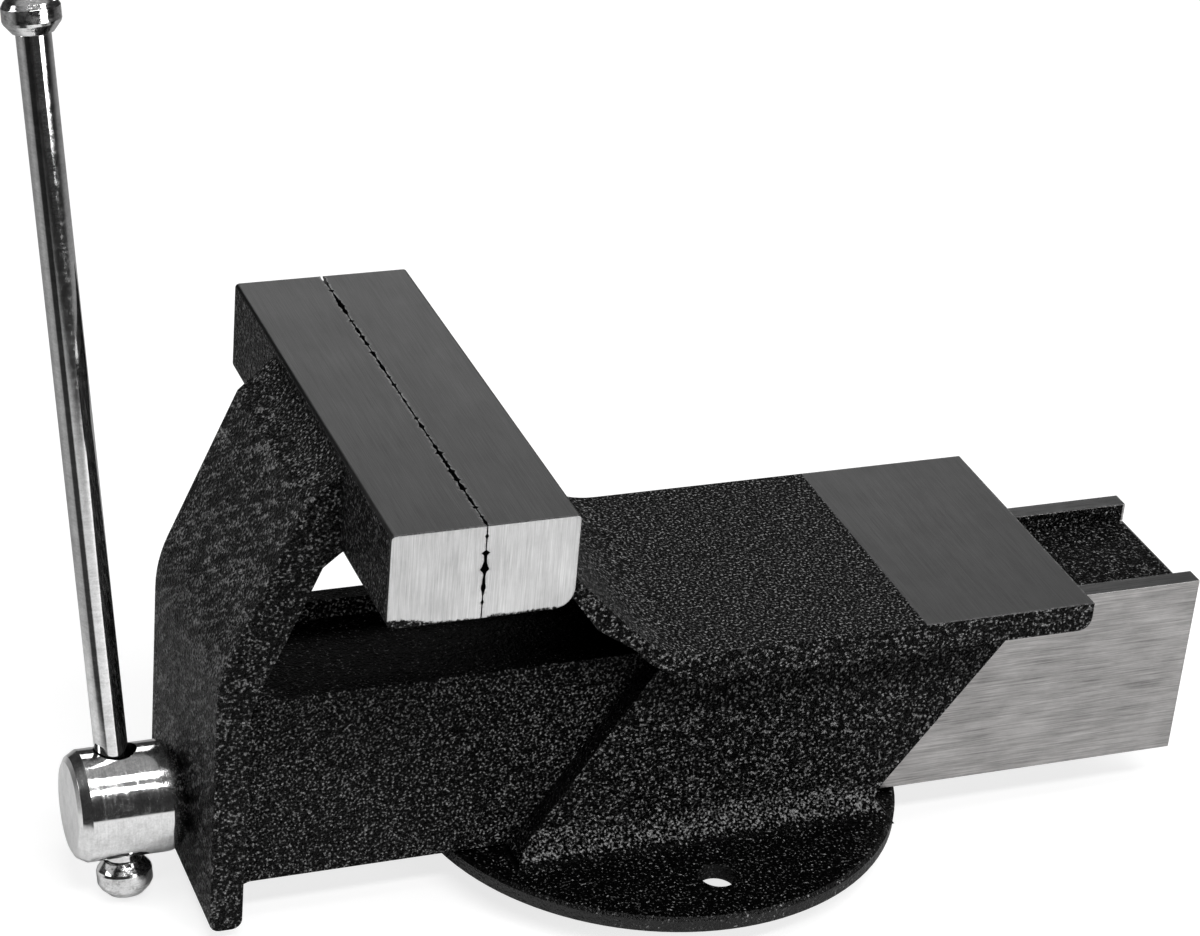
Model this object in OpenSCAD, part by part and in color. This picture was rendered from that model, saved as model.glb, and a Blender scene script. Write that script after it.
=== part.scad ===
// Bench vise with one-piece jaws, round foot, square channel slide and T-handle.
// Frame: millimetres, +X from the handle to the rear, +Z up, origin at the centre
// of the foot's underside, midway between its two bolt holes.

/* [Foot] */
// diameter of the round foot
foot_d = 150; // [144:1:156]
// thickness of the foot's flange
foot_t = 5; // [4.6:0.1:5.2]
// distance between the two bolt holes, across the jaws
bolt_span = 111; // [108:1:114]
// diameter of each bolt hole
bolt_hole_d = 11; // [9:0.5:12]

/* [Jaws] */
// width of both jaws
jaw_w = 150; // [120:5:160]
// thickness of each jaw, front to back
jaw_t = 26; // [24:1:28]
// height of the jaw tops above the bench
jaw_top = 144; // [142:1:146]
// height of the jaw undersides above the bench
jaw_bottom = 116; // [114:1:118]
// spacing of the grip grooves
grip_pitch = 5; // [4:1:8]
// depth of the grip grooves
grip_depth = 0.8; // [0.5:0.1:1.2]

/* [Anvil] */
// half width of the anvil plate and neck
anvil_hw = 46; // [42:1:48]
// height of the anvil's top face
anvil_top = 76; // [75:0.5:78]
// rear end of the anvil
anvil_end = 116.7; // [108:0.1:120]

/* [Slide] */
// half width of the sliding channel
slide_hw = 27; // [26:0.5:27]
// underside of the slide
slide_bottom = 6; // [5.9:0.1:6.1]
// top of the slide's two rails
slide_top = 66.5; // [66:0.1:66.6]
// depth of the trough between the rails
trough_d = 6; // [4:0.5:7]
// rear end of the slide
slide_end = 164.5; // [156:0.5:172]
// half width of the front arm and apron
arm_hw = 34; // [32:0.5:36]
// lower edge of the front apron
apron_bottom = -4.5; // [-5:0.5:1]

/* [Spindle] */
// height of the spindle's axis
axis_z = 21; // [20.5:0.5:22]
// outside diameter of the screw
screw_d = 18; // [16:0.5:18]
// diameter of the spindle's head
head_d = 32.4; // [31:0.2:33]
// length of the head in front of the apron
head_l = 32.5; // [30:0.5:34]
// diameter of the handle's cross hole
cross_hole_d = 12.5; // [12.4:0.1:13]

/* [Handle] */
// diameter of the handle bar
bar_d = 9.6; // [9:0.1:10]
// bar length above the spindle's axis, up to the upper knob
bar_up = 222; // [190:1:230]
// bar length below the spindle's axis, down to the lower knob
bar_down = 17.6; // [17.4:0.1:20]
// diameter of the end knobs
knob_d = 16; // [14:0.5:18]
// length of the end knobs
knob_l = 11; // [9:0.5:13]
// turn of the handle about the spindle from upright
handle_turn = 12; // [0:1:30]
// lean of the bar in its loose cross hole
handle_lean = 3.7; // [0:0.1:3.7]

/* [Hidden] */
$fn = 96;
// running clearances and the overlap of joined solids
run = 0.3;
fit = 0.05;
overlap = 0.5;
// jaws
x_gap = -87;
rear_jaw_back = x_gap + jaw_t;
front_face = x_gap - run;
front_jaw_back = front_face - jaw_t;
jaw_edge_r = 1.2;
rear_jaw_r = 6;
front_jaw_r = 2.5;
// front arm and apron
apron_front = -146;
apron_back = -136.5;
apron_r = 3;
apron_fillet_r = 4;
elbow_r = 42;
elbow_z = 70;
throat_r = 30;
throat_z = 62;
// slide and the channel that it runs in
hollow_hw = 19.5;
hollow_top = 50.5;
rail_w = 6;
channel_hw = slide_hw + run;
pad_top = slide_bottom - run;
pad_front = -52;
pad_rear = 60;
// side walls of the fixed body
wall_out = 34;
wall_front_low = -53;
wall_front_high = -14;
wall_rear_low = 58.5;
wall_rear_high = 102.5;
wall_toe = 4;
foot_fillet = 9;
top_fillet = 4;
rim_edge = 1;
// anvil and neck
anvil_bottom = 67;
anvil_r = 4;
neck_x = -2;
neck_outer_r = 34;
neck_inner_x = -7;
neck_inner_r = 30;
// nut and its screws
nut_x0 = -27;
nut_x1 = 9;
nut_hw = 17;
nut_top = 38;
nut_r = 4;
nut_screw_d = 6;
nut_screw_head_d = 12;
nut_screw_sink = 0.3;
nut_screw_head_l = 3;
nut_screw_top = 20;
nut_screw_y = 12.6;
nut_screw_xs = [-20, 2];
hex_d = 4;
hex_deep = 2;
// spindle
bar_x = -164.8;
head_front = apron_front - run - head_l;
head_chamfer = 3.2;
head_r = 6;
neck_d = 17.6;
neck_socket = 1.4;
screw_end = 153;
screw_point = 2;
washer_d = 31;
washer_t = 2;
pin_washer_d = 28;
spring_l = 18;
spring_wire = 2.4;
spring_r = 11.6;
spring_turns = 5;
spring_sides = 8;
spring_steps = 100;
spring_rise = spring_l - spring_wire - 2 * run;
pin_d = 4;
pin_l = 27;
pin_x = apron_back + 2 * washer_t + spring_l + pin_d / 2 + run;
pin_wire = 2;
pin_eye_r = 2.4;
// handle
tang_d = 8;
tang_l = 7;
cast_c = [0.13, 0.13, 0.14];
steel_c = [0.62, 0.62, 0.64];
chrome_c = [0.78, 0.78, 0.8];
iron_c = [0.42, 0.41, 0.4];

// points of an arc, for side profiles
function arc(cx, cy, r, a0, a1, n = 10) =
    [for (i = [0 : n]) [cx + r * cos(a0 + (a1 - a0) * i / n), cy + r * sin(a0 + (a1 - a0) * i / n)]];

// side profile in X and Z, spread evenly across Y
module across(hw) {
    rotate([90, 0, 0])
        linear_extrude(height = 2 * hw, center = true)
            children();
}

// end profile in Y and Z, run along X
module along(x0, x1) {
    translate([x0, 0, 0])
        rotate([90, 0, 90])
            linear_extrude(height = x1 - x0)
                children();
}

// round bar or hole along X
module rod_x(d, x0, x1, z) {
    translate([x0, 0, z])
        rotate([0, 90, 0])
            cylinder(d = d, h = x1 - x0);
}

// vertical hole or pin
module rod_z(d, x, y, z0, z1) {
    translate([x, y, z0])
        cylinder(d = d, h = z1 - z0);
}

// crossed V grooves on a gripping face at x
module grip(x) {
    n_y = floor((jaw_w - grip_pitch) / 2 / grip_pitch);
    side = grip_depth * sqrt(2);
    for (i = [-n_y : n_y])
        translate([x, i * grip_pitch, (jaw_top + jaw_bottom) / 2])
            rotate([0, 0, 45])
                cube([side, side, jaw_top - jaw_bottom + 2], center = true);
    for (z = [jaw_bottom + grip_pitch : grip_pitch : jaw_top - grip_pitch / 2])
        translate([x, 0, z])
            rotate([0, 45, 0])
                cube([side, jaw_w + 2, side], center = true);
}

// the foot's flange with a turned rim
module foot() {
    r = foot_d / 2;
    rotate_extrude()
        polygon([[0, 0], [r - rim_edge / 2, 0], [r, rim_edge / 2], [r, foot_t - rim_edge],
                 [r - rim_edge, foot_t], [0, foot_t]]);
}

// the two low pads on the foot that the slide runs on
module slide_pads() {
    for (s = [-1, 1])
        translate([pad_front, s == 1 ? hollow_hw : -channel_hw - overlap, foot_t - overlap])
            cube([pad_rear - pad_front, channel_hw + overlap - hollow_hw, pad_top - foot_t + overlap]);
}

// one half of the side walls' section, with its fillets
module wall_half() {
    z0 = foot_t - overlap;
    z1 = anvil_bottom + overlap;
    polygon(concat(
        [[channel_hw, z0], [wall_out + foot_fillet, z0]],
        arc(wall_out + foot_fillet, foot_t + foot_fillet, foot_fillet, 270, 180),
        arc(wall_out + top_fillet, anvil_bottom - top_fillet, top_fillet, 180, 90),
        [[wall_out + top_fillet, z1], [channel_hw, z1]]));
}

// the walls' lean, seen from the side
module wall_profile() {
    z0 = foot_t - overlap;
    z1 = anvil_bottom + overlap;
    polygon([[wall_front_low - wall_toe, z0], [wall_rear_low + wall_toe, z0],
             [wall_rear_low, foot_t + wall_toe], [wall_rear_high, z1],
             [wall_front_high, z1], [wall_front_low, foot_t + wall_toe]]);
}

// the two leaning side walls
module walls() {
    intersection() {
        along(-foot_d / 2, anvil_end)
            union() {
                wall_half();
                mirror([1, 0])
                    wall_half();
            }
        across(anvil_hw)
            wall_profile();
    }
}

// anvil plate and the neck that rises from it to the rear jaw
module anvil_profile() {
    polygon(concat(
        [[anvil_end, anvil_top]],
        arc(anvil_end - anvil_r, anvil_bottom + anvil_r, anvil_r, 0, -90, 6),
        arc(neck_x, anvil_bottom + neck_outer_r, neck_outer_r, 270, 218),
        [[-41, 88.5], [-48.5, 98.8], [-66, 121], [-66, 130], [rear_jaw_back, 126],
         [-56.5, 116.3], [-47.2, 104.7], [-41.2, 98.3], [-34.6, 91.2], [-27.6, 84.6]],
        arc(neck_inner_x, anvil_top + neck_inner_r, neck_inner_r, 226, 270)));
}

// section of a jaw with its back towards +X and its lower back edge rounded
module jaw_profile(low_r) {
    polygon(concat(
        [[0, jaw_bottom], [0, jaw_top]],
        arc(jaw_t - jaw_edge_r, jaw_top - jaw_edge_r, jaw_edge_r, 90, 0, 4),
        arc(jaw_t - low_r, jaw_bottom + low_r, low_r, 0, -90, 8)));
}

// clearance hole for one nut screw, countersunk from below
module nut_screw_hole() {
    d = nut_screw_d + 2 * run;
    head_d = nut_screw_head_d + 2 * run;
    translate([0, 0, -1])
        cylinder(d = d, h = foot_t + 2);
    translate([0, 0, -1])
        cylinder(d = head_d, h = 1 + nut_screw_sink);
    translate([0, 0, nut_screw_sink])
        cylinder(d1 = head_d, d2 = d, h = nut_screw_head_l);
}

// places its children at the four nut screws
module at_nut_screws() {
    for (x = nut_screw_xs)
        for (s = [-1, 1])
            translate([x, s * nut_screw_y, 0])
                children();
}

module fixed_body() {
    color(cast_c)
        difference() {
            union() {
                foot();
                slide_pads();
                walls();
                across(anvil_hw)
                    anvil_profile();
                translate([x_gap, 0, 0])
                    across(jaw_w / 2)
                        jaw_profile(rear_jaw_r);
            }
            grip(x_gap);
            for (s = [-1, 1])
                rod_z(bolt_hole_d, 0, s * bolt_span / 2, -1, foot_t + 1);
            at_nut_screws()
                nut_screw_hole();
        }
}

module spindle_nut() {
    color(iron_c)
        difference() {
            along(nut_x0, nut_x1)
                polygon([[-nut_hw, foot_t], [nut_hw, foot_t], [nut_hw, nut_top - nut_r],
                         [nut_hw - nut_r, nut_top], [nut_r - nut_hw, nut_top],
                         [-nut_hw, nut_top - nut_r]]);
            rod_x(screw_d + 2 * fit, nut_x0 - 1, nut_x1 + 1, axis_z);
            at_nut_screws()
                rod_z(nut_screw_d, 0, 0, foot_t - 1, nut_screw_top + 1);
        }
}

module nut_screws() {
    z1 = nut_screw_sink + nut_screw_head_l;
    color(steel_c)
        at_nut_screws()
            difference() {
                union() {
                    translate([0, 0, nut_screw_sink])
                        cylinder(d1 = nut_screw_head_d, d2 = nut_screw_d, h = nut_screw_head_l);
                    rod_z(nut_screw_d, 0, 0, z1 - nut_screw_sink, nut_screw_top);
                }
                translate([0, 0, nut_screw_sink - 1])
                    cylinder(d = hex_d, h = hex_deep + 1, $fn = 6);
            }
}

// front arm and apron, seen from the side
module arm_profile() {
    jaw_in = front_face - 6;
    jaw_low = jaw_bottom + 1.5;
    jaw_high = jaw_top - 2;
    polygon(concat(
        [[jaw_in, jaw_low], [jaw_in, jaw_high], [front_jaw_back + jaw_edge_r, jaw_high],
         [-123.5, 131.4]],
        arc(apron_front + elbow_r, elbow_z, elbow_r, 157, 180, 6),
        arc(apron_front + apron_r, apron_bottom + apron_r, apron_r, 180, 270, 4),
        arc(apron_back - apron_r, apron_bottom + apron_r, apron_r, -90, 0, 4),
        arc(apron_back + throat_r, throat_z, throat_r, 180, 156, 5),
        [[-126.8, 90.2], [-117.7, 111.6], [-113, jaw_bottom - 0.5], [-110, jaw_low]]));
}

// fillet between the back of the apron and the underside of the slide
module apron_fillet() {
    x = apron_back + apron_fillet_r;
    z = slide_bottom - apron_fillet_r;
    difference() {
        across(slide_hw)
            polygon(concat(
                [[apron_back - 1, slide_bottom + 1], [apron_back - 1, z]],
                arc(x, z, apron_fillet_r, 180, 90, 6),
                [[x, slide_bottom + 1]]));
        translate([apron_back - 2, -hollow_hw, z - 1])
            cube([apron_fillet_r + 4, 2 * hollow_hw, apron_fillet_r + 3]);
    }
}

// section of the sliding channel
module slide_section() {
    z0 = slide_top - trough_d;
    inner = slide_hw - rail_w;
    polygon([[-slide_hw, slide_bottom], [-hollow_hw, slide_bottom], [-hollow_hw, hollow_top],
             [hollow_hw, hollow_top], [hollow_hw, slide_bottom], [slide_hw, slide_bottom],
             [slide_hw, slide_top], [inner, slide_top], [inner, z0], [-inner, z0],
             [-inner, slide_top], [-slide_hw, slide_top]]);
}

module movable_jaw() {
    color(cast_c)
        difference() {
            union() {
                translate([front_face, 0, 0])
                    mirror([1, 0, 0])
                        across(jaw_w / 2)
                            jaw_profile(front_jaw_r);
                across(arm_hw)
                    arm_profile();
                along(apron_back - 1, slide_end)
                    slide_section();
                apron_fillet();
            }
            grip(front_face);
            rod_x(screw_d + 2 * fit, apron_front - 1, apron_back + 1, axis_z);
        }
}

module apron_washer() {
    color(steel_c)
        difference() {
            rod_x(washer_d, apron_back, apron_back + washer_t, axis_z);
            rod_x(screw_d + run, apron_back - 1, apron_back + washer_t + 1, axis_z);
        }
}

module spindle_head() {
    r = head_d / 2;
    color(chrome_c)
        difference() {
            translate([head_front, 0, axis_z])
                rotate([0, 90, 0])
                    rotate_extrude()
                        polygon(concat(
                            [[0, 0], [r - head_chamfer, 0], [r - head_chamfer / 2, 0.9], [r, 3.6]],
                            arc(r - head_r, head_l - head_r, head_r, 0, 90, 8),
                            [[neck_d / 2, head_l], [neck_d / 2, head_l - neck_socket],
                             [0, head_l - neck_socket]]));
            translate([bar_x, 0, axis_z])
                rotate([-handle_turn, 0, 0])
                    cylinder(d = cross_hole_d, h = 2 * head_d, center = true);
        }
}

module spindle_screw() {
    x0 = head_front + head_l - neck_socket;
    color(steel_c)
        difference() {
            union() {
                rod_x(neck_d, x0, apron_front, axis_z);
                rod_x(screw_d, apron_front - run / 2, screw_end - screw_point, axis_z);
                translate([screw_end - screw_point, 0, axis_z])
                    rotate([0, 90, 0])
                        cylinder(d1 = screw_d, d2 = screw_d - 2 * screw_point, h = screw_point);
            }
            rod_z(pin_d, pin_x, 0, axis_z - screw_d, axis_z + screw_d);
        }
}

// points around the spring's wire at step i of its helix
function coil_ring(i) =
    let (a = 360 * spring_turns * i / spring_steps)
    [for (b = [0 : 360 / spring_sides : 359])
        let (r = spring_r + spring_wire / 2 * cos(b))
        [spring_rise * i / spring_steps + spring_wire / 2 * sin(b), r * cos(a), r * sin(a)]];

module thrust_spring() {
    m = spring_sides;
    n = spring_steps;
    color(steel_c)
        translate([apron_back + washer_t + run + spring_wire / 2, 0, axis_z])
            polyhedron(
                points = [for (i = [0 : n]) each coil_ring(i)],
                faces = concat(
                    [[for (j = [m - 1 : -1 : 0]) j]],
                    [for (i = [0 : n - 1]) for (j = [0 : m - 1])
                        [i * m + j, i * m + (j + 1) % m, (i + 1) * m + (j + 1) % m, (i + 1) * m + j]],
                    [[for (j = [0 : m - 1]) n * m + j]]));
}

module pin_washer() {
    x0 = apron_back + washer_t + spring_l;
    color(steel_c)
        difference() {
            rod_x(pin_washer_d, x0, x0 + washer_t, axis_z);
            rod_x(screw_d + run, x0 - 1, x0 + washer_t + 1, axis_z);
        }
}

module split_pin() {
    eye_z = axis_z + pin_l / 2 + pin_eye_r / 2;
    color(steel_c) {
        rod_z(pin_d, pin_x, 0, axis_z - pin_l / 2, axis_z + pin_l / 2);
        translate([pin_x, 0, eye_z])
            rotate([0, 90, 0])
                rotate_extrude()
                    translate([pin_eye_r, 0])
                        circle(d = pin_wire, $fn = 24);
    }
}

// anything set on the leaning handle's own axis
module on_handle() {
    translate([bar_x, 0, axis_z])
        rotate([-handle_turn, 0, 0])
            rotate([0, -handle_lean, 0])
                children();
}

module handle_bar() {
    color(chrome_c)
        on_handle() {
            translate([0, 0, -bar_down])
                cylinder(d = bar_d, h = bar_up + bar_down);
            translate([0, 0, -bar_down - tang_l])
                cylinder(d = tang_d, h = bar_up + bar_down + 2 * tang_l);
        }
}

// barrel knob standing on z = 0, bored for the bar's reduced end
module knob() {
    r = knob_d / 2;
    difference() {
        rotate_extrude()
            polygon([[0, 0], [r - 2.4, 0], [r - 0.3, 2.6], [r, 3.4], [r, knob_l - 4],
                     [r - 0.8, knob_l - 2.6], [r - 2.9, knob_l - 0.5], [r - 4, knob_l],
                     [0, knob_l]]);
        translate([0, 0, -1])
            cylinder(d = tang_d, h = tang_l + 1);
    }
}

module upper_knob() {
    color(chrome_c)
        on_handle()
            translate([0, 0, bar_up])
                knob();
}

module lower_knob() {
    color(chrome_c)
        on_handle()
            translate([0, 0, -bar_down])
                rotate([180, 0, 0])
                    knob();
}

fixed_body();
spindle_nut();
nut_screws();
movable_jaw();
apron_washer();
spindle_head();
spindle_screw();
thrust_spring();
pin_washer();
split_pin();
handle_bar();
upper_knob();
lower_knob();
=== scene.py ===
"""Looks of the bench vise: worked casting meshes, cut thread, coil spring and procedural metals."""

import math

import bmesh
import bpy
from mathutils import Matrix, Vector, noise


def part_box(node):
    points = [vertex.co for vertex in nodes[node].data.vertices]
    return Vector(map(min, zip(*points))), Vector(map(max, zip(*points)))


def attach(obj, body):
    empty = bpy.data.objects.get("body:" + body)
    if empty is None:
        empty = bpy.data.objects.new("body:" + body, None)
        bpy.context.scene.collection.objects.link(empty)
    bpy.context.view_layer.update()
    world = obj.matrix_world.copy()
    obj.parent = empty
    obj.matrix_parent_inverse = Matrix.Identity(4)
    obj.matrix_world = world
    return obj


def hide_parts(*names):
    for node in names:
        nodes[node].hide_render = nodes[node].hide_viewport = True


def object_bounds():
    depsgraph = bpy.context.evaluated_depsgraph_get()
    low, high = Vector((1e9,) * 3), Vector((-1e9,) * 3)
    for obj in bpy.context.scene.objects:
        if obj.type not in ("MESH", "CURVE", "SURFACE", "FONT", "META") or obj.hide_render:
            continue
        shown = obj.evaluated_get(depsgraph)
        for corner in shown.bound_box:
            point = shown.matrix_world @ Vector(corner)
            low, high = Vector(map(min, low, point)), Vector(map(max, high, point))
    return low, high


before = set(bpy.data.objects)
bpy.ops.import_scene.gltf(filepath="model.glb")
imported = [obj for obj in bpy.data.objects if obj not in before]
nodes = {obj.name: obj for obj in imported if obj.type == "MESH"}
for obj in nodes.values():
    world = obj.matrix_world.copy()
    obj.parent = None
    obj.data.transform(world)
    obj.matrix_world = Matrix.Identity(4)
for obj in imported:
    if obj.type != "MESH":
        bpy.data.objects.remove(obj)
cad_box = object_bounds()
MM = 0.001

# ---------------------------------------------------------------- sizes, in metres

# the castings
JAW_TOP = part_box("fixed_body")[1].z
JAW_BOTTOM = 0.116
HALF_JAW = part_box("fixed_body")[1].y
FIXED_GRIP = -0.087
MOVING_GRIP = -0.0873
FOOT_TOP = 0.005
ANVIL_HALF = 0.046
ANVIL_TOP = 0.076
ARM_HALF = 0.034
APRON_BACK = -0.1365
SLIDE_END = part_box("movable_jaw")[1].x
SLIDE_HALF = 0.027
SLIDE_TOP = 0.0665
SLIDE_BOTTOM = 0.006
TROUGH = 0.0605
TROUGH_HALF = 0.021
# where the ground part of the anvil's top and of the slide begins
ANVIL_GROUND = 0.0617
SLIDE_GROUND = -0.0085
# the walls' rear edge lies at x = WALL_REAR + WALL_SLOPE * z
WALL_REAR = 0.0517
WALL_SLOPE = 0.75
# width of the soft border between coat and ground steel, and how far it wanders
BORDER = 0.0006
WANDER = 0.0022
# the spindle's axis and the middle of its head
AXIS_Z = 0.021
HEAD_X = -0.165

# ---------------------------------------------------------------- camera

# azimuth, elevation and roll in degrees, distance and target in metres, lens in millimetres
CAM_AZ = -22.84
CAM_EL = 29.03
CAM_ROLL = 5.17
CAM_DISTANCE = 0.9894
CAM_TARGET = Vector((-0.0306, 0.0, 0.1060))
CAM_LENS = 103.745
CAM_SHIFT = (0.0161, 0.0198)


def make_camera():
    az = math.radians(CAM_AZ)
    el = math.radians(CAM_EL)
    roll = math.radians(CAM_ROLL)
    back = Vector((math.sin(az) * math.cos(el), -math.cos(az) * math.cos(el), math.sin(el)))
    right = Vector((0, 0, 1)).cross(back).normalized()
    up = back.cross(right)
    right, up = (right * math.cos(roll) + up * math.sin(roll),
                 up * math.cos(roll) - right * math.sin(roll))
    camera = bpy.data.objects.new("camera", bpy.data.cameras.new("camera"))
    bpy.context.scene.collection.objects.link(camera)
    camera.data.lens = CAM_LENS
    camera.data.shift_x, camera.data.shift_y = CAM_SHIFT
    camera.data.clip_end = 20
    turn = Matrix((right, up, back)).transposed().to_4x4()
    camera.matrix_world = Matrix.Translation(CAM_TARGET + back * CAM_DISTANCE) @ turn
    bpy.context.scene.camera = camera


# ---------------------------------------------------------------- node graphs

class Graph:
    """Short calls for building one material's node graph."""

    def __init__(self, name):
        self.material = bpy.data.materials.new(name)
        self.material.use_nodes = True
        self.tree = self.material.node_tree
        self.shader = self.tree.nodes["Principled BSDF"]
        self.coords = self.tree.nodes.new("ShaderNodeTexCoord").outputs["Object"]
        self.geometry = self.tree.nodes.new("ShaderNodeNewGeometry")

    def node(self, kind, inputs=None, **settings):
        made = self.tree.nodes.new("ShaderNode" + kind)
        for key, value in settings.items():
            setattr(made, key, value)
        for key, value in (inputs or {}).items():
            self.put(made.inputs[key], value)
        return made

    def put(self, socket, value):
        if isinstance(value, bpy.types.NodeSocket):
            self.tree.links.new(value, socket)
        else:
            socket.default_value = value

    def math(self, operation, a, b=0.0, clamp=False):
        made = self.node("Math", {0: a, 1: b}, operation=operation, use_clamp=clamp)
        return made.outputs[0]

    def chain(self, operation, values):
        result = values[0]
        for value in values[1:]:
            result = self.math(operation, result, value)
        return result

    def add(self, *values):
        return self.chain("ADD", values)

    def product(self, *values):
        return self.chain("MULTIPLY", values)

    def highest(self, *values):
        return self.chain("MAXIMUM", values)

    def axis(self, name):
        return self.node("SeparateXYZ", {0: self.coords}).outputs[name]

    def far_y(self):
        """Distance from the middle plane."""
        return self.math("ABSOLUTE", self.axis("Y"))

    def normal(self, name):
        return self.node("SeparateXYZ", {0: self.geometry.outputs["Normal"]}).outputs[name]

    def stretched(self, scale, rotation=(0, 0, 0)):
        turned = self.node("Mapping", {"Vector": self.coords, "Rotation": rotation}).outputs[0]
        return self.node("Mapping", {"Vector": turned, "Scale": scale}).outputs[0]

    def noise(self, scale, detail=3.0, rough=0.55, vector=None):
        made = self.node("TexNoise", {"Vector": vector or self.coords, "Scale": scale,
                                      "Detail": detail, "Roughness": rough})
        return made.outputs["Fac"]

    def grains(self, scale, vector=None):
        made = self.node("TexVoronoi", {"Vector": vector or self.coords, "Scale": scale})
        return made.outputs["Distance"]

    def step(self, value, low, high):
        """0 below low, 1 above high, smooth between; low may be the larger."""
        made = self.node("MapRange", {"Value": value, "From Min": low, "From Max": high},
                         interpolation_type="SMOOTHSTEP")
        return made.outputs[0]

    def ramp(self, value, *stops):
        made = self.node("ValToRGB", {0: value})
        elements = made.color_ramp.elements
        while len(elements) < len(stops):
            elements.new(0.5)
        for element, (place, color) in zip(elements, stops):
            element.position = place
            element.color = (*color, 1.0) if isinstance(color, tuple) else (color, color, color, 1.0)
        return made.outputs[0]

    def mix(self, factor, a, b):
        made = self.node("Mix", data_type="RGBA")
        for index, value in ((0, factor), (6, a), (7, b)):
            if isinstance(value, (tuple, float)) and index:
                value = (*value, 1.0) if isinstance(value, tuple) else (value, value, value, 1.0)
            self.put(made.inputs[index], value)
        return made.outputs[2]

    def blend(self, factor, a, b):
        made = self.node("Mix", {0: factor, 2: a, 3: b}, data_type="FLOAT")
        return made.outputs[0]

    def bump(self, height, distance, strength=1.0, below=None):
        inputs = {"Height": height, "Distance": distance, "Strength": strength}
        if below is not None:
            inputs["Normal"] = below
        return self.node("Bump", inputs).outputs[0]

    def finish(self, **sockets):
        for name, value in sockets.items():
            self.put(self.shader.inputs[name.replace("_", " ")], value)
        return self.material


# ---------------------------------------------------------------- materials

# cells per metre of the coat's noises
LUMPS = 430
GRIT = 1150
# cells of the coat's light specks, which are painted glints of light on its grains
GLINT_CELLS = 1250
# the ridges' slant about x, in radians, and their share of cells along the slant
RIDGE_SLANT = -0.9
RIDGE_STRETCH = 0.24
# height in metres of the coat's relief and of the grinding lines
COAT_RELIEF = 0.0017
GROUND_RELIEF = 0.00003
# width in metres of the band along outer edges that gets wear and a painted highlight
EDGE_BAND_WIDTH = 0.0016
# how much the specks' noise is lowered where the coat is plain, which leaves fewer painted glints; on
# the slide's top and the foot's top this darkening is also painted shade
PLAIN_DROP = 0.10


def edge_wear_and_sheen(g):
    """Near 1 on outer edges, from the difference of the rounded and the true normal; there steel and
    coat are worn and the coat also gets a painted highlight.
    """
    rounded = g.node("Bevel", {"Radius": EDGE_BAND_WIDTH}, samples=6).outputs[0]
    dot = g.node("VectorMath", {0: rounded, 1: g.geometry.outputs["Normal"]}, operation="DOT_PRODUCT")
    return g.step(dot.outputs["Value"], 1.0, 0.75)


def coat(g, smooth, painted_light_shade, streaks=None):
    """Colour, roughness, height and shine of the black coat on sand-cast iron.

    smooth is 1 where the coat is plain, the next argument adds painted highlight and painted
    shade to its light specks, which are painted glints of light on the coat's grains, and
    streaks is 1 where it ran into slanting ridges.
    """
    height = g.add(g.noise(LUMPS, 2.0, 0.55), g.product(g.noise(GRIT, 1.4, 0.55), 1.5))
    height = g.math("SUBTRACT", height, g.product(g.grains(GRIT), 0.5))
    # light specks: painted glints, raised by painted highlight and lowered by painted shade
    painted_glints = g.add(g.noise(GLINT_CELLS, 1.0, 0.5), painted_light_shade)
    painted_glints = g.math("SUBTRACT", painted_glints, g.product(smooth, PLAIN_DROP))
    if streaks is not None:
        slanted = g.stretched((1.0, 1.0, RIDGE_STRETCH), (RIDGE_SLANT, 0, 0))
        ridges = g.noise(LUMPS, 2.0, 0.55, slanted)
        height = g.add(height, g.product(ridges, streaks, 4.0))
        # the painted glints gather along the ridges
        painted_glints = g.add(painted_glints, g.product(g.math("SUBTRACT", ridges, 0.47), streaks, 0.7))
    height = g.product(height, g.blend(smooth, 1.0, 0.22))
    # near-black coat with the painted glints as its light specks
    color = g.ramp(painted_glints, (0.45, 0.0006), (0.52, 0.005), (0.60, 0.065), (0.70, 0.28))
    roughness = g.blend(g.noise(38, 3.0, 0.6), 0.30, 0.45)
    plain_shine = g.blend(g.step(g.normal("Z"), 0.5, 0.8), 0.45, 0.02)
    return color, roughness, height, g.blend(smooth, 0.07, plain_shine)


def brushed(g, direction, tone, contrast, tint=(1.0, 1.0, 1.0)):
    """Colour, roughness and height of steel ground along an axis: 0 is x, 1 is y, 2 is z."""
    scale = [1.0, 1.0, 1.0]
    scale[direction] = 0.022
    lines = g.noise(2600, 3.0, 0.7, g.stretched(tuple(scale)))
    scale[direction] = 0.10
    broad = g.noise(650, 4.0, 0.65, g.stretched(tuple(scale)))
    patch = g.noise(60, 5.0, 0.66)
    mixed = g.add(g.product(lines, 0.50), g.product(broad, 0.24), g.product(patch, 0.26))
    low = tuple(tone * (1 - contrast) * c for c in tint)
    high = tuple(tone * (1 + 0.5 * contrast) * c for c in tint)
    color = g.ramp(mixed, (0.33, low), (0.66, high))
    roughness = g.blend(mixed, 0.46, 0.30)
    return color, roughness, lines


def mix_all(g, factor, first, second):
    """Blends (colour, roughness, height) sets."""
    return (g.mix(factor, first[0], second[0]), g.blend(factor, first[1], second[1]),
            g.blend(factor, first[2], second[2]))


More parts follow.
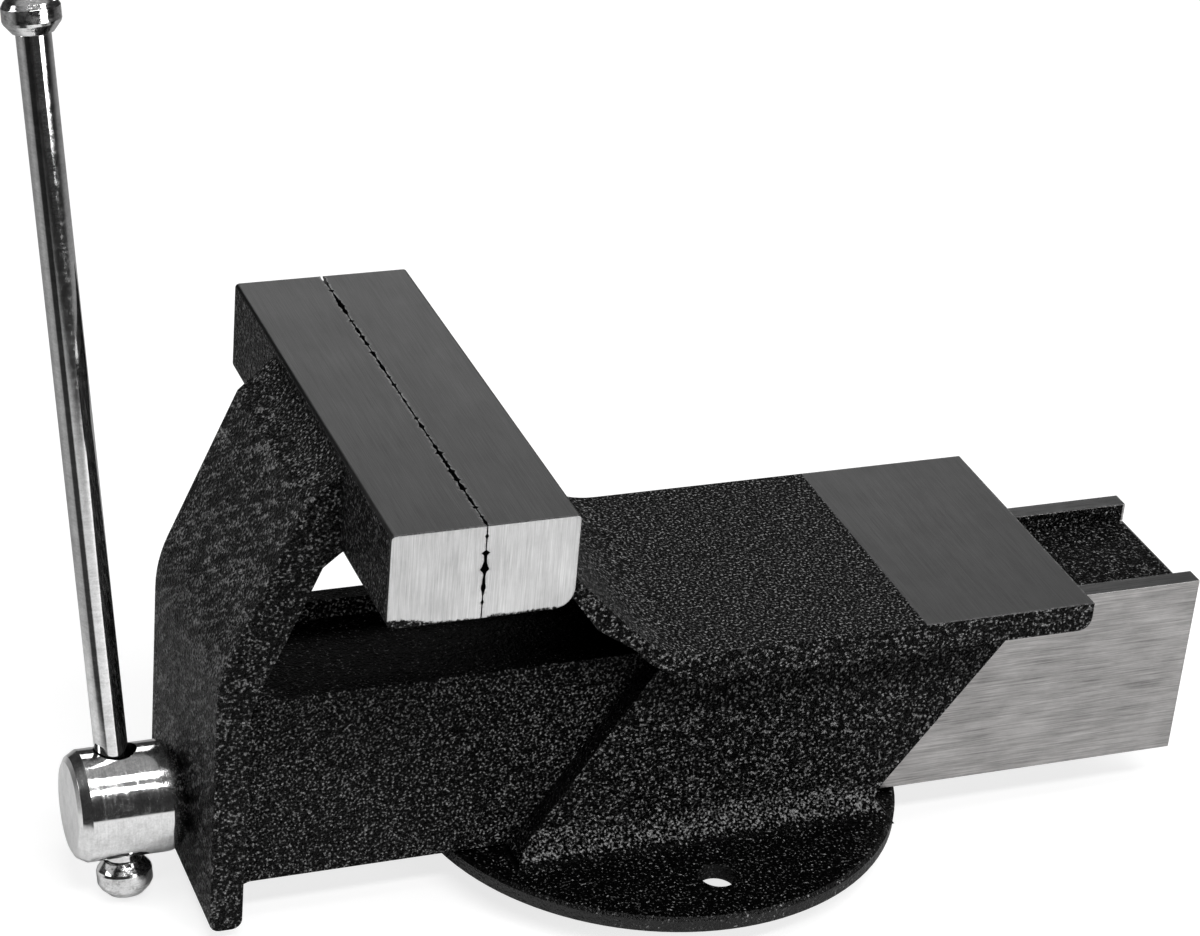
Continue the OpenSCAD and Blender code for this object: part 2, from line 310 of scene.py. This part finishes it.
def casting_material(name, ground_mask, brush_sets, smooth, painted_light_shade, streaks=None):
    """Black coat with ground steel where ground_mask is 1.

    brush_sets are (mask, settings of brushed) pairs, each laid over the ones before it.
    """
    g = Graph(name)
    wobble = g.product(g.math("SUBTRACT", g.noise(900, 3.0, 0.6), 0.5), WANDER)
    mask = ground_mask(g, wobble)
    # the coat's light specks get the painted highlight and painted shade of the fifth argument's mask
    paint = coat(g, smooth(g), painted_light_shade(g), streaks(g) if streaks else None)
    steel = None
    for face, settings in brush_sets:
        layer = brushed(g, *settings)
        steel = layer if steel is None else mix_all(g, face(g), steel, layer)
    # edge mask: rubbed steel is wear, while on the coat it also places a painted highlight
    worn = edge_wear_and_sheen(g)
    rubbed = g.product(worn, g.step(g.noise(1100, 2.0, 0.6), 0.38, 0.62))
    bright = g.mix(g.product(rubbed, 0.8), steel[0], 0.24)
    # lighter coat on the edges: partly chipped paint, partly a painted highlight along ridges that catch
    # the light
    chips_and_sheen = g.product(worn, g.step(g.noise(420, 4.0, 0.65), 0.50, 0.66))
    painted = g.mix(g.product(chips_and_sheen, 0.5), paint[0], 0.08)
    paint_bump = g.bump(paint[2], COAT_RELIEF)
    steel_bump = g.bump(steel[2], GROUND_RELIEF)
    normal = g.node("Mix", {0: mask, 4: paint_bump, 5: steel_bump}, data_type="VECTOR").outputs[1]
    return g.finish(Base_Color=g.mix(mask, painted, bright), Roughness=g.blend(mask, paint[1], steel[1]),
                    Metallic=mask, Normal=normal, Specular_IOR_Level=paint[3])


def polished_material(name, along, mottle, dark=0.50):
    """Bright steel with turning streaks round the axis along: 0 is x, 1 is y, 2 is z.

    mottle is how much rougher its smudges are, and dark is their tone.
    """
    g = Graph(name)
    scale = [0.12, 0.12, 0.12]
    scale[along] = 1.0
    streaks = g.noise(1500, 3.0, 0.65, g.stretched(tuple(scale)))
    smudge = g.noise(260, 5.0, 0.7)
    pits = g.noise(1500, 3.0, 0.7)
    tone = g.add(g.product(smudge, 0.45), g.product(pits, 0.30), g.product(streaks, 0.25))
    color = g.ramp(tone, (0.38, dark), (0.50, 0.66), (0.62, 0.82))
    roughness = g.blend(g.step(tone, 0.42, 0.60), 0.03, 0.03 + mottle)
    normal = g.bump(tone, 0.00002, 0.6)
    return g.finish(Base_Color=color, Roughness=roughness, Metallic=1.0, Normal=normal)


def plain_steel_material(name, tone, roughness_low, roughness_high, tint=(1.0, 1.0, 1.0)):
    """Turned and lightly oiled steel for the inner pieces."""
    g = Graph(name)
    stain = g.noise(90, 5.0, 0.65)
    fine = g.noise(1600, 3.0, 0.7)
    mixed = g.add(g.product(stain, 0.6), g.product(fine, 0.4))
    low = tuple(tone * 0.5 * c for c in tint)
    high = tuple(tone * c for c in tint)
    color = g.ramp(mixed, (0.34, low), (0.62, high))
    roughness = g.blend(mixed, roughness_high, roughness_low)
    return g.finish(Base_Color=color, Roughness=roughness, Metallic=1.0,
                    Normal=g.bump(fine, 0.00004))


# ---------------------------------------------------------------- worked copies of CAD meshes

# points closer than this are one point, in metres
WELD = 2e-6
# faces within this angle become one, and edges over the second angle may be rounded
FLAT_ANGLE = math.radians(0.6)
ROUNDED_ANGLE = math.radians(26)
# extra points on each edge of a gripping face's rim
RIM_CUTS = 5
# how near a point is to a plane that it is meant to lie in, in metres
NEAR = 2e-5
# the deepest bite in the rim of a gripping face, in metres
DEEPEST_BITE = 0.0012


def worked_copy(node, name, bevels, smooth_angle=32, rim_x=None):
    """A cleaned copy of a CAD node's mesh with its edges rounded.

    bevels are (width, segments, test) triples; test(edge) picks the sharp edges to round.
    rim_x is the place of a gripping face, whose rim gets more points to be worn unevenly.
    """
    mesh = nodes[node].data.copy()
    mesh.name = name
    piece = bpy.data.objects.new(name, mesh)
    bpy.context.scene.collection.objects.link(piece)
    work = bmesh.new()
    work.from_mesh(mesh)
    bmesh.ops.remove_doubles(work, verts=work.verts, dist=WELD)
    bmesh.ops.dissolve_limit(work, angle_limit=FLAT_ANGLE, verts=work.verts,
                             edges=work.edges, delimit=set())
    if rim_x is not None:
        rim = [e for e in work.edges if all(on_rim(v.co, rim_x) for v in e.verts)]
        bmesh.ops.subdivide_edges(work, edges=rim, cuts=RIM_CUTS)
    for width, segments, test in bevels:
        picked = [e for e in work.edges if len(e.link_faces) == 2
                  and e.calc_face_angle(0) > ROUNDED_ANGLE and test(e)]
        bmesh.ops.bevel(work, geom=picked, offset=width, offset_type="OFFSET", segments=segments,
                        profile=0.5, affect="EDGES", clamp_overlap=True, harden_normals=False)
    bmesh.ops.recalc_face_normals(work, faces=work.faces)
    work.to_mesh(mesh)
    work.free()
    if mesh.has_custom_normals:
        mesh.attributes.remove(mesh.attributes["custom_normal"])
    mesh.shade_smooth()
    mesh.set_sharp_from_angle(angle=math.radians(smooth_angle))
    mesh.materials.clear()
    weighted = piece.modifiers.new("flat_faces", "WEIGHTED_NORMAL")
    weighted.keep_sharp = True
    weighted.weight = 100
    return piece


def on_rim(co, face_x):
    """True on the outline of the gripping face at face_x."""
    outline = co.z > JAW_TOP - NEAR or abs(co.y) > HALF_JAW - NEAR
    return abs(co.x - face_x) < 1e-4 and outline


def centre(edge):
    return (edge.verts[0].co + edge.verts[1].co) / 2


def ends_at(edge, half_width):
    """True where both ends lie half_width from the middle plane."""
    return all(abs(abs(v.co.y) - half_width) < NEAR for v in edge.verts)


def in_grip(edge):
    """True near the grooved gripping faces, whose grooves stay crisp."""
    c = centre(edge)
    middle = (FIXED_GRIP + MOVING_GRIP) / 2
    return abs(c.x - middle) < 0.0014 and JAW_BOTTOM - MM < c.z < JAW_TOP + MM


def at_arm_side(edge):
    """The arm's and apron's outline on both sides of the casting."""
    return ends_at(edge, ARM_HALF)


def at_jaw_end(edge):
    return ends_at(edge, HALF_JAW) and not in_grip(edge)


def at_anvil_side(edge):
    return ends_at(edge, ANVIL_HALF)


def at_slide(edge):
    c = centre(edge)
    narrow = all(abs(v.co.y) < SLIDE_HALF + NEAR for v in edge.verts)
    return narrow and c.x > APRON_BACK + 2.5 * MM and c.z < SLIDE_TOP + 1.5 * MM


def at_walls(edge):
    """The outline of the walls, between the foot and the anvil plate."""
    c = centre(edge)
    return FOOT_TOP + 4 * MM < c.z < SLIDE_TOP - 0.5 * MM and abs(c.y) > SLIDE_HALF + 0.5 * MM


def anywhere(edge):
    return not in_grip(edge)


def chip_grip(piece, face_x, inward):
    """Wears the edges of the grooved gripping face unevenly and fills some grooves with dirt."""
    for vertex in piece.data.vertices:
        co = vertex.co
        depth = (co.x - face_x) * inward
        if -1e-4 < depth < 0.0011 and co.z > JAW_BOTTOM - MM:
            open_part = 0.55 + 1.5 * noise.noise(Vector((9.1, co.y * 170, co.z * 170)))
            depth *= min(max(open_part, 0.05), 1.0)
            bite = 0.12 + 0.5 * noise.noise(Vector((face_x * 40, co.y * 130, co.z * 150)))
            bite += 0.8 * noise.noise(Vector((3.7, co.y * 600, co.z * 600)))
            depth += min(max(0.03, bite), 1.0) * 0.0009
            co.x = face_x + inward * min(depth, DEEPEST_BITE)


def set_material(piece, material):
    piece.data.materials.clear()
    piece.data.materials.append(material)


# ---------------------------------------------------------------- screw and spring

def new_piece(name, vertices, faces, body, material, smooth_angle=35):
    mesh = bpy.data.meshes.new(name)
    mesh.from_pydata(vertices, [], faces)
    work = bmesh.new()
    work.from_mesh(mesh)
    bmesh.ops.remove_doubles(work, verts=work.verts, dist=1e-6)
    bmesh.ops.dissolve_degenerate(work, dist=1e-6, edges=work.edges)
    bmesh.ops.recalc_face_normals(work, faces=work.faces)
    work.to_mesh(mesh)
    work.free()
    mesh.shade_smooth()
    mesh.set_sharp_from_angle(angle=math.radians(smooth_angle))
    mesh.materials.append(material)
    piece = bpy.data.objects.new(name, mesh)
    bpy.context.scene.collection.objects.link(piece)
    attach(piece, body)
    return piece


def lead_screw(material):
    """The spindle's plain journal and its trapezoidal right-hand thread."""
    low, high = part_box("spindle_screw")
    sides = 56
    lead = 4 * MM
    core = 6.9 * MM
    crest = (high.y - low.y) / 2
    journal_r = 8.8 * MM
    shoulder_x = -0.1464
    thread_start = -0.106
    thread_end = high.x - 2.5 * MM
    runout = 2 * MM
    profile = ((0.0, crest), (0.34, crest), (0.50, core), (0.84, core))
    turns = math.ceil((thread_end - thread_start) / lead) + 2
    vertices = []
    rows = []
    for turn in range(-1, turns):
        for place, radius in profile:
            row = []
            for side in range(sides + 1):
                x = thread_start + lead * (turn + place + side / sides)
                fade = min(1.0, max(0.0, (thread_end - x) / runout))
                r = core + (radius - core) * fade if x > thread_start else crest
                x = min(max(x, thread_start), thread_end)
                angle = math.tau * side / sides
                row.append(len(vertices))
                vertices.append((x, r * math.cos(angle), AXIS_Z + r * math.sin(angle)))
            rows.append(row)
    faces = [(a[s], b[s], b[s + 1], a[s + 1])
             for a, b in zip(rows, rows[1:]) for s in range(sides)]
    journal = ((low.x, journal_r), (shoulder_x, journal_r), (shoulder_x + 0.2 * MM, crest),
               (thread_start, crest))
    faces += ring_faces(vertices, journal, sides, True, False)
    point = ((thread_end, core), (high.x - 0.8 * MM, core), (high.x, core - 1.2 * MM))
    faces += ring_faces(vertices, point, sides, False, True)
    piece = new_piece("lead_screw", vertices, faces, "spindle", material)
    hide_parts("spindle_screw")


def ring_faces(vertices, profile, sides, cap_start, cap_end):
    """Adds rings about the spindle's axis to vertices and returns their faces."""
    rings = []
    for x, radius in profile:
        ring = []
        for side in range(sides):
            angle = math.tau * side / sides
            ring.append(len(vertices))
            vertices.append((x, radius * math.cos(angle), AXIS_Z + radius * math.sin(angle)))
        rings.append(ring)
    faces = [(a[s], b[s], b[(s + 1) % sides], a[(s + 1) % sides])
             for a, b in zip(rings, rings[1:]) for s in range(sides)]
    if cap_start:
        faces.append(tuple(reversed(rings[0])))
    if cap_end:
        faces.append(tuple(rings[-1]))
    return faces


def coil_spring(material):
    """Round wire wound as a compression spring with closer turns at its ends."""
    low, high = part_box("thrust_spring")
    wire = 1.2 * MM
    radius = (high.y - low.y) / 2 - wire
    turns = 6.5
    steps = 40
    sides = 12
    length = high.x - low.x - 2 * wire
    count = int(turns * steps)
    vertices = []
    for step in range(count + 1):
        share = step / count
        eased = min(max((share * turns - 0.75) / (turns - 1.5), 0.0), 1.0)
        x = low.x + wire + length * (0.12 * share + 0.88 * eased)
        angle = math.tau * turns * share
        for side in range(sides):
            round_wire = math.tau * side / sides
            r = radius + wire * math.cos(round_wire)
            vertices.append((x + wire * math.sin(round_wire), r * math.cos(angle),
                             AXIS_Z + r * math.sin(angle)))
    faces = [(s * sides + b, s * sides + (b + 1) % sides, (s + 1) * sides + (b + 1) % sides,
              (s + 1) * sides + b) for s in range(count) for b in range(sides)]
    faces.append(tuple(range(sides - 1, -1, -1)))
    faces.append(tuple(count * sides + b for b in range(sides)))
    piece = new_piece("coil_spring", vertices, faces, "spindle", material)
    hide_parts("thrust_spring")


# ---------------------------------------------------------------- castings

def ground_jaw(g, wobble, low_edge, grip):
    """Ground steel on a jaw's top, on its ends above low_edge and on its gripping face."""
    z = g.axis("Z")
    top = g.step(g.add(z, g.product(wobble, 0.7)), JAW_TOP - 2 * BORDER, JAW_TOP - BORDER)
    ends = g.step(g.add(g.far_y(), wobble), HALF_JAW - 2 * BORDER, HALF_JAW - BORDER)
    face = g.product(grip, g.step(z, JAW_BOTTOM - MM, JAW_BOTTOM))
    return g.highest(top, g.product(ends, low_edge), face)


def fixed_mask(g, wobble):
    """Ground steel on the fixed casting: jaw top and ends, gripping face, and the anvil's rear."""
    x = g.axis("X")
    z = g.add(g.axis("Z"), wobble)
    low_edge = g.step(z, JAW_BOTTOM + 0.4 * MM, JAW_BOTTOM + 1.2 * MM)
    grip = g.step(x, FIXED_GRIP + 1.8 * MM, FIXED_GRIP + 1.4 * MM)
    rear = g.step(g.add(x, g.product(wobble, 0.25)), ANVIL_GROUND, ANVIL_GROUND + 0.5 * MM)
    level = g.step(z, ANVIL_TOP - MM, ANVIL_TOP - 0.5 * MM)
    anvil = g.product(rear, level, g.step(g.normal("Z"), 0.35, 0.6))
    return g.highest(ground_jaw(g, wobble, low_edge, grip), anvil)


def moving_mask(g, wobble):
    """Ground steel on the moving casting: jaw top and ends, gripping face, and the slide's rear."""
    x = g.axis("X")
    z = g.axis("Z")
    # coat that stays along the low front edge of the jaw's ends
    sliver = g.product(g.step(x, -0.096, -0.112), -0.0022)
    low_edge = g.step(g.add(z, wobble, sliver), JAW_BOTTOM + 0.2 * MM, JAW_BOTTOM + 0.8 * MM)
    grip = g.step(x, MOVING_GRIP - 1.9 * MM, MOVING_GRIP - 1.5 * MM)
    # uneven edge of the coat behind the walls
    past_wall = g.math("SUBTRACT", g.math("SUBTRACT", x, g.product(z, WALL_SLOPE)), WALL_REAR)
    spatter = g.product(g.math("SUBTRACT", g.noise(420, 4.0, 0.7), 0.5), 0.016)
    side = g.product(g.step(g.far_y(), SLIDE_HALF - 2 * BORDER, SLIDE_HALF - BORDER),
                     g.step(g.add(past_wall, spatter), 0.0, 0.8 * MM))
    rail = g.product(g.step(z, SLIDE_TOP - 1.2 * MM, SLIDE_TOP - 0.7 * MM),
                     g.step(g.normal("Z"), 0.15, 0.45))
    under = g.step(z, SLIDE_BOTTOM + 2 * BORDER, SLIDE_BOTTOM + BORDER)
    end = g.step(x, SLIDE_END - MM, SLIDE_END - 0.5 * MM)
    behind = g.step(g.add(x, wobble), SLIDE_GROUND, SLIDE_GROUND + MM)
    slide = g.product(behind, g.highest(side, rail, under, end))
    return g.highest(ground_jaw(g, wobble, low_edge, grip), slide)


def plain_shaded_foot(g):
    """1 on the foot's flange, whose coat is plain; its fewer light specks also darken the foot's top as
    painted shade under the anvil.
    """
    return g.step(g.axis("Z"), FOOT_TOP + 1.8 * MM, FOOT_TOP + 0.6 * MM)


def plain_shaded_slide_top(g):
    """1 on the coated part of the slide's top and its trough, whose coat is plain; its fewer light
    specks darken it as painted shade under the jaws.
    """
    x = g.axis("X")
    z = g.axis("Z")
    level = g.product(g.step(z, TROUGH - 1.5 * MM, TROUGH - 0.5 * MM),
                      g.step(z, SLIDE_TOP + 0.7 * MM, SLIDE_TOP + 0.3 * MM))
    near = g.product(g.step(x, -0.128, -0.124), g.step(x, -0.008, -0.010))
    return g.product(level, near, g.step(g.normal("Z"), 0.5, 0.8))


def fixed_painted_light_shade(g):
    """Painted highlight on the fillet bands above the foot, which face the light, and painted shade on
    the walls' front faces, which lie in shade behind the arm and under the anvil.
    """
    z = g.axis("Z")
    low = g.product(g.step(z, FOOT_TOP + 1.3 * MM, FOOT_TOP + 2.2 * MM),
                    g.step(z, FOOT_TOP + 11.5 * MM, FOOT_TOP + 7 * MM))
    fillet_highlight = g.product(low, g.step(g.normal("Z"), 0.95, 0.70))
    wall_front_shade = g.product(g.step(g.normal("X"), -0.35, -0.70), g.step(z, 0.068, 0.062))
    return g.math("SUBTRACT", g.product(fillet_highlight, 0.050), g.product(wall_front_shade, 0.12))


def moving_painted_shade(g):
    """Painted shade in the trough between the rails."""
    z = g.axis("Z")
    depth = g.product(g.step(z, TROUGH - 1.5 * MM, TROUGH - 0.5 * MM),
                      g.step(z, SLIDE_TOP - 0.1 * MM, SLIDE_TOP - 0.5 * MM))
    behind = g.step(g.axis("X"), -0.010, -0.008)
    inside = g.step(g.far_y(), TROUGH_HALF + 1.2 * MM, TROUGH_HALF + 0.4 * MM)
    return g.product(depth, behind, inside, -0.045)


def below_jaws(g):
    return g.step(g.axis("Z"), 0.10, 0.09)


def facing_side(g):
    return g.step(g.math("ABSOLUTE", g.normal("Y")), 0.80, 0.97)


def low_side(g):
    return g.product(facing_side(g), below_jaws(g))


def rail_top(g):
    return g.product(g.step(g.normal("Z"), 0.55, 0.75), below_jaws(g))


def arm_front(g):
    """1 on the front of the arm, where the coat ran into slanting ridges."""
    return g.product(g.step(g.normal("X"), -0.35, -0.75), g.step(g.axis("X"), -0.114, -0.124))


def build_castings():
    """Both castings, with brushed steel as (direction, tone, contrast, tint) for each face."""
    grey = (1.0, 1.0, 1.0)
    warm = (1.0, 0.975, 0.965)
    # ground steel not facing sideways (jaw tops, anvil, rail tops) gets a tone about ten times darker
    # than side-facing ground steel (jaw ends, slide sides): lit and shaded copies of one ground steel,
    # with painted shade on the tops
    fixed_sets = [(None, (1, 0.043, 0.28, grey)), (facing_side, (2, 0.57, 0.40, grey))]
    moving_sets = fixed_sets + [(low_side, (0, 0.59, 0.60, warm)), (rail_top, (0, 0.055, 0.80, grey))]
    fixed = worked_copy("fixed_body", "fixed_casting", [
        (1.6 * MM, 3, at_walls),
        (1.0 * MM, 3, at_anvil_side),
        (1.1 * MM, 4, at_jaw_end)], rim_x=FIXED_GRIP)
    chip_grip(fixed, FIXED_GRIP, 1)
    set_material(fixed, casting_material(
        "coated_fixed_casting", fixed_mask, fixed_sets, plain_shaded_foot, fixed_painted_light_shade))
    moving = worked_copy("movable_jaw", "moving_casting", [
        (2.4 * MM, 4, at_arm_side),
        (1.1 * MM, 4, at_jaw_end),
        (0.7 * MM, 2, at_slide)], rim_x=MOVING_GRIP)
    chip_grip(moving, MOVING_GRIP, -1)
    set_material(moving, casting_material(
        "coated_moving_casting", moving_mask, moving_sets, plain_shaded_slide_top, moving_painted_shade, arm_front))
    for piece, node, body in ((fixed, "fixed_body", "base"), (moving, "movable_jaw", "slide")):
        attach(piece, body)
        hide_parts(node)


# ---------------------------------------------------------------- turned pieces

def build_turned():
    bright_x = polished_material("polished_head", 0, 0.13)
    bright_z = polished_material("polished_bar", 2, 0.10)
    mottled = polished_material("polished_knob", 2, 0.22, 0.26)
    for node, name, width, smooth, material, body in (
            ("spindle_head", "turned_head", 0.5 * MM, 15, bright_x, "spindle"),
            ("handle_bar", "turned_bar", 0.3 * MM, 15, bright_z, "handle"),
            ("upper_knob", "turned_upper_knob", 0.1 * MM, 9, mottled, "handle"),
            ("lower_knob", "turned_lower_knob", 0.1 * MM, 9, mottled, "handle")):
        piece = worked_copy(node, name, [(width, 3, anywhere)], smooth_angle=smooth)
        set_material(piece, material)
        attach(piece, body)
        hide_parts(node)


def build_inner():
    oiled = plain_steel_material("oiled_steel", 0.42, 0.22, 0.42)
    iron = plain_steel_material("machined_iron", 0.30, 0.35, 0.6, (1.0, 0.96, 0.9))
    wire = plain_steel_material("spring_wire", 0.30, 0.25, 0.45)
    lead_screw(oiled)
    coil_spring(wire)
    for node, material in (("spindle_nut", iron), ("nut_screws", oiled), ("apron_washer", oiled),
                           ("pin_washer", oiled), ("split_pin", wire)):
        set_material(nodes[node], material)


# ---------------------------------------------------------------- studio

def floor_material():
    """Pale floor; it bounces less light than it shows, and its mirror image is banded.

    The bands lie round the spindle's head, whose polished steel shows them: dark between
    two headings, then white, and grey elsewhere. Headings are in radians.
    """
    g = Graph("pale_floor")
    x = g.math("SUBTRACT", g.axis("X"), HEAD_X)
    y = g.axis("Y")
    heading = g.math("ARCTAN2", y, x)
    distance = g.math("SQRT", g.add(g.product(x, x), g.product(y, y)))
    dark = g.product(g.step(heading, -2.95, -2.75), g.step(heading, -2.10, -2.28))
    white = g.product(g.step(heading, -2.28, -2.10), g.step(heading, -0.5, -0.9))
    outer = g.blend(dark, g.blend(white, 0.36, 0.86), 0.015)
    mirrored = g.blend(g.step(distance, 0.07, 0.20), 0.84, outer)
    path = g.node("LightPath")
    to_camera = path.outputs["Is Camera Ray"]
    tone = g.blend(to_camera, g.blend(path.outputs["Is Glossy Ray"], 0.16, mirrored), 0.30)
    color = g.node("CombineColor", {0: tone, 1: tone, 2: tone}).outputs[0]
    beyond_lights = g.step(distance, 0.6, 2.2)
    glow = g.product(to_camera, g.blend(beyond_lights, 0.78, 1.0))
    return g.finish(Base_Color=color, Roughness=0.6, Emission_Color=(1, 1, 1, 1),
                    Emission_Strength=glow)


def make_floor():
    mesh = bpy.data.meshes.new("floor")
    gap = 0.4 * MM
    z = cad_box[0][2] - gap
    r = 6.0
    mesh.from_pydata([(-r, -r, z), (r, -r, z), (r, r, z), (-r, r, z)], [], [(0, 1, 2, 3)])
    mesh.materials.append(floor_material())
    floor = bpy.data.objects.new("floor", mesh)
    bpy.context.scene.collection.objects.link(floor)


def make_world():
    """Pale to the camera; in reflections dark near the horizon and grey overhead."""
    world = bpy.data.worlds.new("studio")
    world.use_nodes = True
    bpy.context.scene.world = world
    tree = world.node_tree
    tree.nodes.clear()
    coords = tree.nodes.new("ShaderNodeTexCoord").outputs["Generated"]
    split = tree.nodes.new("ShaderNodeSeparateXYZ")
    tree.links.new(coords, split.inputs[0])
    ramp = tree.nodes.new("ShaderNodeValToRGB")
    tree.links.new(split.outputs["Z"], ramp.inputs[0])
    stops = ((0.0, 0.05), (0.48, 0.045), (0.66, 0.08), (0.80, 0.34), (1.0, 0.40))
    while len(ramp.color_ramp.elements) < len(stops):
        ramp.color_ramp.elements.new(0.5)
    for element, (place, tone) in zip(ramp.color_ramp.elements, stops):
        element.position = place
        element.color = (tone, tone, tone, 1)
    path = tree.nodes.new("ShaderNodeLightPath")
    reflected = tree.nodes.new("ShaderNodeBackground")
    tree.links.new(ramp.outputs[0], reflected.inputs["Color"])
    direct = tree.nodes.new("ShaderNodeBackground")
    direct.inputs["Color"].default_value = (1, 1, 1, 1)
    direct.inputs["Strength"].default_value = 1.0
    mix = tree.nodes.new("ShaderNodeMixShader")
    tree.links.new(path.outputs["Is Camera Ray"], mix.inputs[0])
    tree.links.new(path.outputs["Is Glossy Ray"], reflected.inputs["Strength"])
    tree.links.new(reflected.outputs[0], mix.inputs[1])
    tree.links.new(direct.outputs[0], mix.inputs[2])
    out = tree.nodes.new("ShaderNodeOutputWorld")
    tree.links.new(mix.outputs[0], out.inputs[0])


def area_light(name, place, aim, size, watts):
    light = bpy.data.lights.new(name, "AREA")
    light.shape = "RECTANGLE"
    light.size, light.size_y = size
    light.energy = watts
    lamp = bpy.data.objects.new(name, light)
    lamp.location = place
    lamp.rotation_euler = (Vector(aim) - Vector(place)).to_track_quat("-Z", "Y").to_euler()
    bpy.context.scene.collection.objects.link(lamp)


def make_lights():
    """Two narrow softboxes square to the spindle, whose head shows them as bands, and three fills."""
    middle = (-0.03, 0.0, 0.07)
    beside = (0.10, 0.0, 0.07)
    area_light("overhead_a", (0.10, -0.70, 1.05), beside, (1.1, 0.16), 10)
    area_light("overhead_b", (0.10, -0.26, 1.20), beside, (1.1, 0.28), 8)
    area_light("left", (-1.25, 0.22, 0.62), middle, (0.4, 0.6), 3.9)
    area_light("right", (0.75, -1.15, 0.50), middle, (0.8, 0.6), 8)
    area_light("back", (0.35, 1.2, 0.75), middle, (1.2, 0.4), 4)


bpy.context.scene.view_settings.view_transform = "Standard"
make_camera()
build_castings()
build_turned()
build_inner()
make_floor()
make_world()
make_lights()
